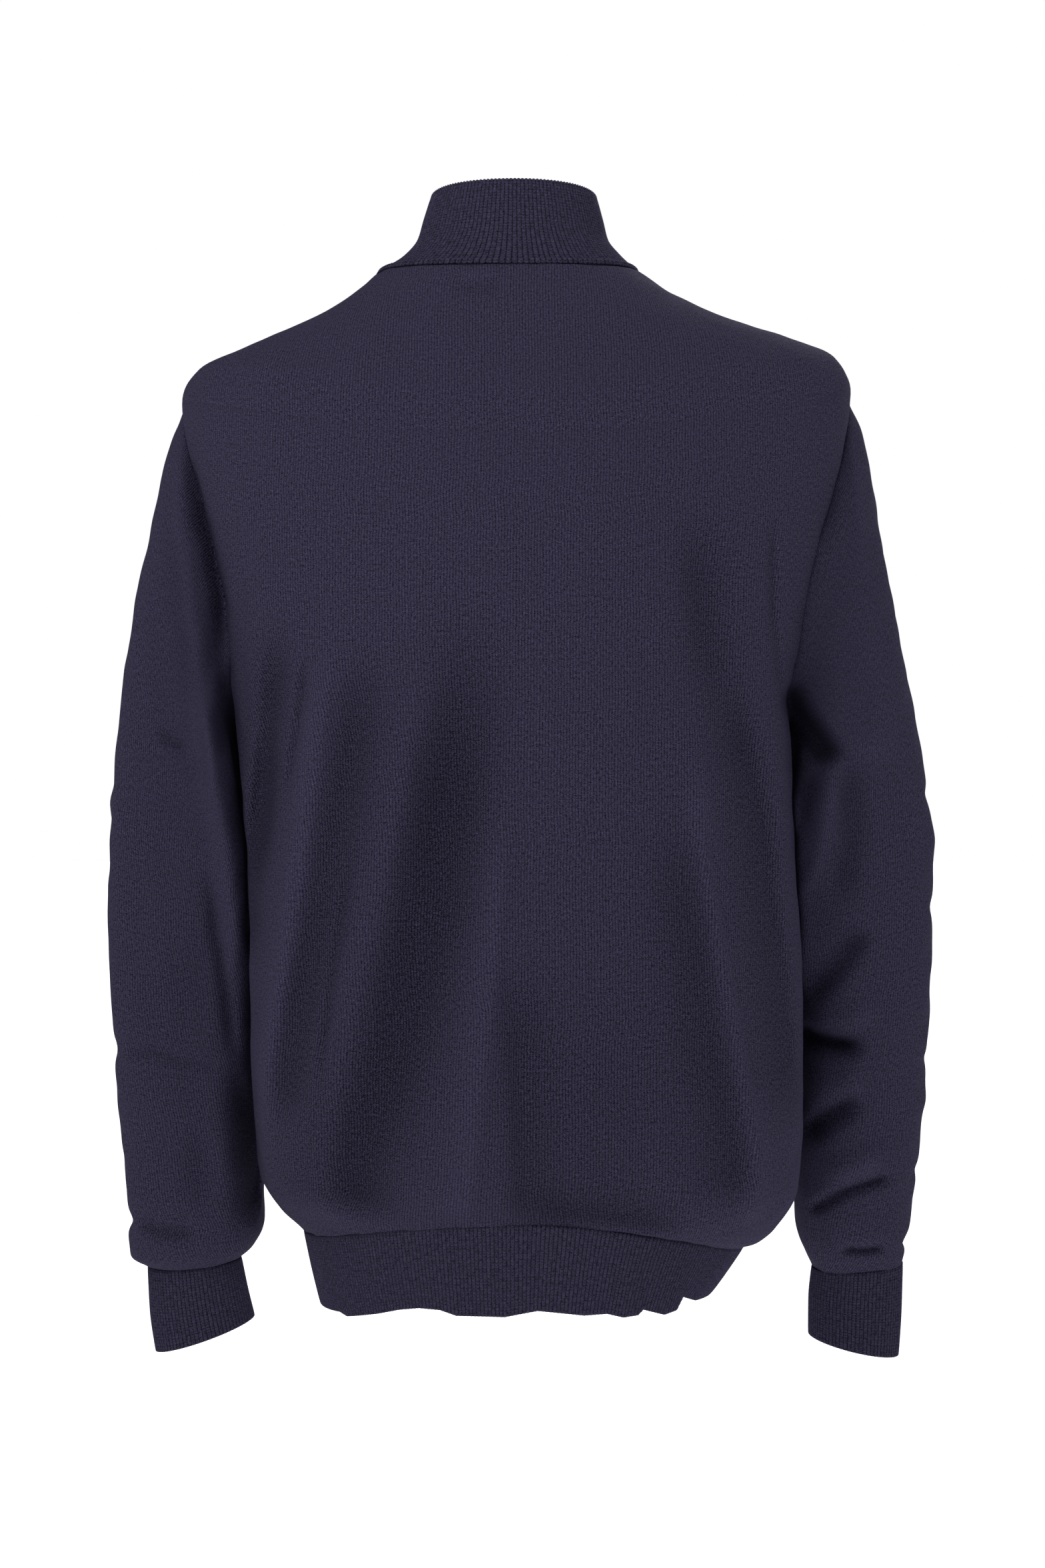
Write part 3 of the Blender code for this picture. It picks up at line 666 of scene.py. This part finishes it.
def unevenness(points):
    """Small soft waves in every direction, the same at each place for all pieces."""
    random = np.random.default_rng(UNEVEN_SEED)
    total = np.zeros(points.shape)
    for _ in range(UNEVEN_WAVES):
        length = math.exp(random.uniform(math.log(UNEVEN_SHORT), math.log(UNEVEN_LONG)))
        direction = unit(random.normal(size=3) * UNEVEN_RUN)
        push = unit(random.normal(size=3) * UNEVEN_PUSH)
        wave = np.sin(points @ direction * 2 * math.pi / length + random.uniform(0, 2 * math.pi))
        total += (length / UNEVEN_LONG) ** UNEVEN_SHRINK * wave[..., None] * push
    return total * UNEVEN_HEIGHT


def creased(points, creasing):
    """The points with the creases of the back and the front pushed in, and how high each lies, for
    the painted fold shade.
    """
    middle = np.interp(points[..., 2], *np.transpose(MIDDLE))
    place = points[..., [0, 2]]
    back = (points[..., 1] - middle) / MIDDLE_BLEND
    behind = smooth(back) * crease_heights(place, BACK_CREASES)
    before = smooth(-back) * crease_heights(place, FRONT_CREASES)
    moved = points + unevenness(points) * creasing
    moved[..., 1] += (behind - before) * creasing
    return moved, np.clip(behind + before, *FOLD_SHADE_RANGE) * creasing


def grooved(grid, distance, closed=False, side=1):
    """A grid with the shallow groove of a linked seam, `distance` away from each point."""
    depth = GROOVE_DEPTH * np.exp(-((distance / GROOVE_WIDTH) ** 2)) * side
    return grid - depth[..., None] * grid_normals(grid, closed)


def side_creased(base, points, side, inner_rows, outer_rows, creasing):
    """A sleeve with the creases of its inner and outer sides, which die out at armhole and cuff."""
    turn = np.arange(SLEEVE_COLUMNS) * 2 * math.pi / SLEEVE_COLUMNS
    points = points.copy()
    for rows, way in ((inner_rows, -1), (outer_rows, 1)):
        facing = smooth(way * np.cos(turn) / SIDE_BLEND)[None, :]
        heights = crease_heights(base[..., [1, 2]], rows)
        points[..., 0] += side * way * facing * heights * creasing
    return points


def bloused(points, front):
    """A panel whose lowest rows hang over the rib's seam."""
    at = UNDERARM_RING * np.arange(ROWS_BELOW_ARMHOLE) / ROWS_BELOW_ARMHOLE
    bump = smooth(at / BLOUSE_START) * smooth((BLOUSE_END - at) / BLOUSE_FADE)
    hang = np.interp(points[: len(at), :, 0], *np.transpose(BLOUSE))
    points = points.copy()
    points[: len(at), :, 2] -= bump[:, None] * hang * (BLOUSE_FRONT if front else 1.0)
    return points


# Knitting ----------


def length_of(row, closed=False):
    """How long a row of points is."""
    row = np.vstack([row, row[:1]]) if closed else row
    return float(np.linalg.norm(np.diff(row, axis=0), axis=1).sum())


def rib_wave(columns):
    """1 on each rib's top and -1 between two ribs, for each column."""
    return np.cos(2 * math.pi * np.arange(columns) / COLUMNS_PER_RIB)


def ribbed(grid, depth, closed):
    """A grid with a rib for every few columns. Each rib is a soft wave across the cloth."""
    rows = np.linspace(0, 1, len(grid))[:, None]
    strength = RIB_END + (1 - RIB_END) * smooth(np.minimum(rows, 1 - rows) / RIB_END_LENGTH)
    height = depth * strength * rib_wave(grid.shape[1])
    return grid + height[..., None] * grid_normals(grid, closed)


def rib_wales(grid, closed):
    """The number of ribs from the first column to each point. A rib's top is at a whole number."""
    columns = np.arange(grid.shape[1] + (1 if closed else 0)) / COLUMNS_PER_RIB
    return np.broadcast_to(columns, (len(grid), len(columns)))


def collar_grid(knit):
    """The mock collar, all round, from the neck seam to its upper edge."""
    top = len(COLLAR_RINGS) - 1
    edge = ring_points(COLLAR_RINGS, top, np.arange(0, 360, MEASURE_STEP))
    columns = round(length_of(edge, True) / knit.collar_rib) * COLUMNS_PER_RIB
    at = np.linspace(0, 1, COLLAR_ROWS)[:, None] ** COLLAR_CROWDING * top
    grid = ring_points(COLLAR_RINGS, at, np.arange(columns)[None, :] * 360 / columns)
    scallop = smooth((at - top + SCALLOP_LENGTH) / SCALLOP_LENGTH) * rib_wave(columns)
    grid[..., 2] += scallop * knit.rib_depth
    link = LINK_HEIGHT * np.exp(-(((lengths_along(grid) - LINK_PLACE) / LINK_WIDTH) ** 2))
    return grid + link[:, None, None] * grid_normals(grid, True)


def hem_grid(front, knit):
    """Half of the hem rib, from its lower edge to its seam."""
    middle = 180 if front else 0
    fine = middle + np.arange(-SIDE_SEAM, SIDE_SEAM + MEASURE_STEP, MEASURE_STEP)
    ribs = round(length_of(ring_points(HEM_RINGS, 1, fine)) / knit.hem_rib)
    angle = middle + np.linspace(-SIDE_SEAM, SIDE_SEAM, ribs * COLUMNS_PER_RIB + 1)[None, :]
    at = np.linspace(len(HEM_RINGS) - 1, 0, HEM_ROWS)[:, None]
    grid = ring_points(HEM_RINGS, at, angle)
    low = np.linspace(1, 0, HEM_ROWS)[:, None] ** 2
    x, rise = np.transpose(HEM_EDGE_FRONT if front else HEM_EDGE)
    grid[..., 2] += low * np.interp(grid[..., 0], x, rise)
    return grid


def cuff_grid(rows, side, knit):
    """A cuff, from the sleeve's seam to its open end."""
    middle = arm_points(rows, np.array([1.0]), side, np.arange(0, 360, MEASURE_STEP))[0]
    columns = round(length_of(middle, True) / knit.cuff_rib) * COLUMNS_PER_RIB
    at = np.linspace(0, len(rows) - 1, CUFF_ROWS)
    return arm_points(rows, at, side, np.arange(columns) * 360 / columns)


# Meshes ----------


def lengths_across(grid, closed):
    """How far each column lies from the middle one, or from the first one on a closed grid."""
    wide = np.concatenate([grid, grid[:, :1]], axis=1) if closed else grid
    steps = np.linalg.norm(np.diff(wide, axis=1), axis=2)
    across = np.concatenate([np.zeros((len(grid), 1)), np.cumsum(steps, axis=1)], axis=1)
    if closed:
        return across
    return across - across[:, grid.shape[1] // 2][:, None]


def lengths_along(grid):
    """How far each row lies from the first, along the cloth, on average."""
    steps = np.linalg.norm(np.diff(grid, axis=0), axis=2).mean(axis=1)
    return np.concatenate([[0], np.cumsum(steps)])


def cloth(name, grid, closed, pitch, knit, slot, folds=None, turned=False):
    """A piece of cloth that stands for the model's node of the same name.

    Its UVs count stitches, and `pitch` is the width of one. `folds` is how high each point lies in
    the creases, kept for the material's painted shade in troughs and painted light on ridges.
    `turned` swaps the sides.
    """
    wales = rib_wales(grid, closed) if slot == "rib" else lengths_across(grid, closed) / pitch
    row_count, column_count, _ = grid.shape
    last = column_count if closed else column_count - 1
    row, column = np.meshgrid(np.arange(row_count - 1), np.arange(last), indexing="ij")
    corners = [(row, column), (row + 1, column), (row + 1, column + 1), (row, column + 1)]
    if turned:
        corners = corners[::-1]
    faces = np.stack([r * column_count + c % column_count for r, c in corners], axis=-1)
    along = lengths_along(grid) / pitch
    u = np.stack([wales[r, c] for r, c in corners], axis=-1)
    if closed:
        u = u - np.where(column >= last // 2, wales[:-1, -1:], 0)[..., None]
    v = np.stack([along[r] for r, _ in corners], axis=-1)
    mesh = bpy.data.meshes.new(name + "_knit")
    mesh.from_pydata(grid.reshape(-1, 3).tolist(), [], faces.reshape(-1, 4).tolist())
    layer = mesh.uv_layers.new(name="stitches")
    layer.data.foreach_set("uv", np.stack([u, v], axis=-1).reshape(-1).astype(np.float32))
    # The folds' heights, from which the material paints shade into troughs and light onto ridges.
    fold_shade_height = mesh.attributes.new("fold_shade_height", "FLOAT", "POINT")
    heights = np.zeros(grid.shape[:2]) if folds is None else folds / MM
    fold_shade_height.data.foreach_set("value", heights.reshape(-1).astype(np.float32))
    mesh.materials.append(jersey(knit) if slot == "jersey" else rib_knit(knit))
    mesh.shade_smooth()
    piece = bpy.data.objects.new(name + "_knit", mesh)
    bpy.context.scene.collection.objects.link(piece)
    wall = piece.modifiers.new("cloth_wall", "SOLIDIFY")
    wall.thickness = knit.thickness
    wall.offset = 0
    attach(piece, BODY)
    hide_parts(name)
    return piece


# Materials ----------


def add_node(tree, kind, inputs=None, **settings):
    """Add a node with its settings. An input is a value, or a node or a socket to link."""
    node = tree.nodes.new("ShaderNode" + kind)
    for name, value in settings.items():
        setattr(node, name, value)
    for name, value in (inputs or {}).items():
        if isinstance(value, bpy.types.Node):
            value = value.outputs[0]
        if isinstance(value, bpy.types.NodeSocket):
            tree.links.new(value, node.inputs[name])
        else:
            node.inputs[name].default_value = value
    return node


def merino(name, knit, stitch_height, valley_shade, lightness, nap_per_stitch, evenness):
    """Fine merino yarn, knitted. It is matte, and its short nap lights up softly at a low angle.

    All patterns are laid out in stitches. The real ones are about 1 mm wide, which is too fine to
    show, so the jersey's are drawn nearly twice as wide.
    """
    if name in bpy.data.materials:
        return bpy.data.materials[name]
    material = bpy.data.materials.new(name)
    material.use_nodes = True
    tree = material.node_tree
    shader = tree.nodes["Principled BSDF"]
    place = add_node(tree, "UVMap", uv_map="stitches")
    split = add_node(tree, "SeparateXYZ", {0: place})

    # Columns of stitches, each with two legs that lean towards each other like a V, and a valley
    # between two columns.
    inside = add_node(tree, "Math", {0: split.outputs[0], 1: 0.5}, operation="PINGPONG")
    lean = add_node(tree, "Math", {0: inside, 1: LEG_LEAN}, operation="MULTIPLY")
    course = add_node(
        tree, "Math", {0: split.outputs[1], 1: 1 / COURSE_SHARE, 2: lean},
        operation="MULTIPLY_ADD",
    )
    angle = add_node(tree, "Math", {0: course, 1: 2 * math.pi}, operation="MULTIPLY")
    leg = add_node(tree, "Math", {0: angle}, operation="SINE")
    valley = add_node(
        tree, "MapRange",
        {"Value": inside, "From Min": 0.5, "From Max": 0.26, "To Min": -1.0, "To Max": 0.3},
        interpolation_type="SMOOTHSTEP",
    )
    stitch = add_node(tree, "Math", {0: leg, 1: LEG_RELIEF, 2: valley}, operation="MULTIPLY_ADD")

    # The nap of loose fibres, and the slightly uneven tension along each column.
    stretch = add_node(tree, "Mapping", {"Vector": place, "Scale": TENSION_STRETCH})
    nap = add_node(tree, "TexNoise", {"Vector": place, "Scale": nap_per_stitch, "Detail": 3.0})
    tension = add_node(
        tree, "TexNoise", {"Vector": stretch, "Scale": TENSION_PER_STITCH, "Detail": 2.0},
    )
    relief = add_node(tree, "Math", {0: nap, 1: NAP_RELIEF, 2: stitch}, operation="MULTIPLY_ADD")
    bump = add_node(
        tree, "Bump", {"Height": relief, "Distance": stitch_height, "Strength": BUMP_STRENGTH},
    )

    # Dark and light fibres, mixed in spots. Shade is painted into this colour: it is darker between
    # the columns and down in a fold's trough, and lighter on a fold's ridge.
    spots = add_node(tree, "Math", {0: tension, 1: TENSION_PART, 2: nap}, operation="MULTIPLY_ADD")
    share = add_node(
        tree, "MapRange",
        {"Value": spots, "From Min": SPOTS_MIDDLE - evenness, "From Max": SPOTS_MIDDLE + evenness,
         "To Min": lightness, "To Max": 1 + lightness},
    )
    # Painted shade and light from the folds' heights: darker in a trough, lighter on a ridge.
    fold = add_node(tree, "Attribute", attribute_name="fold_shade_height")
    fold_shaded = add_node(
        tree, "Math", {0: fold.outputs["Fac"], 1: knit.fold_shade, 2: share},
        operation="MULTIPLY_ADD",
    )
    # Painted shade: the colour follows the stitches' relief, darkest in the valleys between the
    # columns or the ribs.
    depth = add_node(
        tree, "Math", {0: stitch, 1: valley_shade, 2: fold_shaded}, operation="MULTIPLY_ADD",
        use_clamp=True,
    )
    yarn = add_node(
        tree, "Mix", {0: depth, 6: (*knit.dark_yarn, 1), 7: (*knit.light_yarn, 1)},
        data_type="RGBA",
    )
    tree.links.new(yarn.outputs[2], shader.inputs["Base Color"])
    tree.links.new(bump.outputs[0], shader.inputs["Normal"])
    for socket, value in WOOL_FINISH.items():
        shader.inputs[socket].default_value = value
    return material


def jersey(knit):
    """The yarn in plain jersey, with its smooth face out."""
    return merino(
        "fine-gauge merino jersey", knit, stitch_height=0.35 * MM, valley_shade=0.18,
        lightness=-0.07, nap_per_stitch=2.25, evenness=0.27,
    )


def rib_knit(knit):
    """The same yarn in rib. Its ribs are in the mesh; its colour has painted shade between them, and
    is painted darker overall than the jersey's, as shade for the rib's hollows.
    """
    return merino(
        "fine merino rib", knit, stitch_height=0.22 * MM, valley_shade=0.28,
        lightness=-0.21, nap_per_stitch=3.3, evenness=0.36,
    )


# Operators ----------


class SWEATER_OT_body(bpy.types.Operator):
    """Build the back and the front"""

    bl_idname = "sweater.body"
    bl_label = "Body"

    def execute(self, context):
        knit = context.scene.sweater_knit
        for name, front in (("back", False), ("front", True)):
            grid, folds = creased(panel_grid(front), knit.creasing)
            grid = bloused(grid, front)
            across = np.abs(lengths_across(grid, False))
            along = lengths_along(grid)
            to_edge = np.minimum(across[:, -1:] - across, (along[-1] - along)[:, None])
            grid = grooved(grid, to_edge)
            piece = cloth(name, grid, False, knit.wale, knit, "jersey", folds)
        return {"FINISHED"}


class SWEATER_OT_sleeves(bpy.types.Operator):
    """Build both sleeves"""

    bl_idname = "sweater.sleeves"
    bl_label = "Sleeves"

    def execute(self, context):
        knit = context.scene.sweater_knit
        arms = (
            ("sleeve_left", LEFT_SLEEVE, 1, LEFT_INNER_CREASES, LEFT_SIDE_CREASES),
            ("sleeve_right", RIGHT_SLEEVE, -1, RIGHT_INNER_CREASES, RIGHT_SIDE_CREASES),
        )
        for name, rows, side, inner, outer in arms:
            base = sleeve_grid(rows, side)
            grid, folds = creased(base, knit.creasing)
            grid = side_creased(base, grid, side, inner, outer, knit.creasing)
            from_armhole = np.linalg.norm(grid - grid[:1], axis=2)
            grid = grooved(grid, from_armhole, True, side)
            piece = cloth(name, grid, True, knit.wale, knit, "jersey", folds, side < 0)
        return {"FINISHED"}


class SWEATER_OT_collar(bpy.types.Operator):
    """Build the mock collar"""

    bl_idname = "sweater.collar"
    bl_label = "Mock collar"

    def execute(self, context):
        knit = context.scene.sweater_knit
        grid = ribbed(collar_grid(knit), knit.rib_depth, True)
        piece = cloth("mock_collar", grid, True, knit.collar_rib, knit, "rib")
        return {"FINISHED"}


class SWEATER_OT_hem(bpy.types.Operator):
    """Build both halves of the hem rib"""

    bl_idname = "sweater.hem"
    bl_label = "Hem rib"

    def execute(self, context):
        knit = context.scene.sweater_knit
        for name, front in (("hem_rib_back", False), ("hem_rib_front", True)):
            grid = ribbed(hem_grid(front, knit), knit.rib_depth, False)
            piece = cloth(name, grid, False, knit.hem_rib, knit, "rib")
        return {"FINISHED"}


class SWEATER_OT_cuffs(bpy.types.Operator):
    """Build both cuffs"""

    bl_idname = "sweater.cuffs"
    bl_label = "Cuffs"

    def execute(self, context):
        knit = context.scene.sweater_knit
        for name, rows, side in (("cuff_left", LEFT_CUFF, 1), ("cuff_right", RIGHT_CUFF, -1)):
            grid = ribbed(cuff_grid(rows, side, knit), knit.rib_depth * side, True)
            piece = cloth(name, grid, True, knit.cuff_rib, knit, "rib", turned=side < 0)
        return {"FINISHED"}


def lamp(name, kind, energy, azimuth, elevation, distance):
    """A lamp that faces the sweater's middle. It isn't seen itself."""
    light = bpy.data.lights.new(name, kind)
    light.energy = energy
    piece = bpy.data.objects.new(name, light)
    piece.rotation_euler = (math.radians(90 - elevation), 0, math.radians(azimuth))
    away = piece.rotation_euler.to_matrix() @ Vector((0, 0, distance))
    piece.location = Vector(STAGE_MIDDLE) + away
    piece.visible_camera = False
    bpy.context.scene.collection.objects.link(piece)
    return light


class SWEATER_OT_stage(bpy.types.Operator):
    """Build the floor, the lights and the camera"""

    bl_idname = "sweater.stage"
    bl_label = "Stage"

    def execute(self, context):
        stage = context.scene.sweater_stage
        bpy.ops.mesh.primitive_plane_add(size=FLOOR_WIDTH, location=(0, 0, stage.floor_z))
        floor = context.object
        floor.name = "floor"
        paint = bpy.data.materials.new("matt white floor paint")
        paint.use_nodes = True
        shader = paint.node_tree.nodes["Principled BSDF"]
        shader.inputs["Base Color"].default_value = (*stage.floor_colour, 1)
        shader.inputs["Roughness"].default_value = FLOOR_ROUGHNESS
        shader.inputs["Emission Color"].default_value = (1, 1, 1, 1)
        shader.inputs["Emission Strength"].default_value = FLOOR_GLOW
        floor.data.materials.append(paint)

        # The background is white, and sends less light to the cloth than it shows to the camera.
        world = bpy.data.worlds.new("white_studio")
        context.scene.world = world
        world.use_nodes = True
        tree = world.node_tree
        seen = add_node(tree, "LightPath")
        strength = add_node(
            tree, "MapRange",
            {"Value": seen.outputs["Is Camera Ray"], "To Min": stage.ambient, "To Max": 1.0},
        )
        background = tree.nodes["Background"]
        background.inputs["Color"].default_value = (1, 1, 1, 1)
        tree.links.new(strength.outputs["Result"], background.inputs["Strength"])
        for name, azimuth, elevation, distance, width, share in SCREENS:
            screen = lamp(name, "AREA", share * stage.key_light, azimuth, elevation, distance)
            screen.size = width
        for name, azimuth, elevation, share in DISTANT_LIGHTS:
            sun = lamp(name, "SUN", share * stage.rim_light, azimuth, elevation, DISTANT)
            sun.angle = math.radians(stage.softness)

        lens = bpy.data.cameras.new("camera")
        lens.lens = FOCAL_LENGTH
        lens.sensor_width = SENSOR_WIDTH
        camera = bpy.data.objects.new("camera", lens)
        camera.location = CAMERA_PLACE
        camera.rotation_euler = (math.pi / 2, 0, math.pi)
        context.scene.collection.objects.link(camera)
        context.scene.camera = camera
        context.scene.view_settings.view_transform = "Standard"
        return {"FINISHED"}


class SWEATER_PT_panel(bpy.types.Panel):
    """Sidebar panel with the sweater's pieces"""

    bl_idname = "SWEATER_PT_panel"
    bl_label = "Mock Neck Sweater"
    bl_space_type = "VIEW_3D"
    bl_region_type = "UI"
    bl_category = "Sweater"

    def draw(self, context):
        layout = self.layout
        for name in SweaterKnit.__annotations__:
            layout.prop(context.scene.sweater_knit, name)
        for name in SweaterStage.__annotations__:
            layout.prop(context.scene.sweater_stage, name)
        for operator in OPERATORS:
            layout.operator(operator.bl_idname)


OPERATORS = (
    SWEATER_OT_body,
    SWEATER_OT_sleeves,
    SWEATER_OT_collar,
    SWEATER_OT_hem,
    SWEATER_OT_cuffs,
    SWEATER_OT_stage,
)
CLASSES = (SweaterKnit, SweaterStage, *OPERATORS, SWEATER_PT_panel)


def register():
    for item in CLASSES:
        bpy.utils.register_class(item)
    bpy.types.Scene.sweater_knit = PointerProperty(type=SweaterKnit)
    bpy.types.Scene.sweater_stage = PointerProperty(type=SweaterStage)


def unregister():
    del bpy.types.Scene.sweater_stage
    del bpy.types.Scene.sweater_knit
    for item in reversed(CLASSES):
        bpy.utils.unregister_class(item)


def main():
    register()
    bpy.ops.sweater.body()
    bpy.ops.sweater.sleeves()
    bpy.ops.sweater.collar()
    bpy.ops.sweater.hem()
    bpy.ops.sweater.cuffs()
    bpy.ops.sweater.stage()


if __name__ == "__main__":
    main()
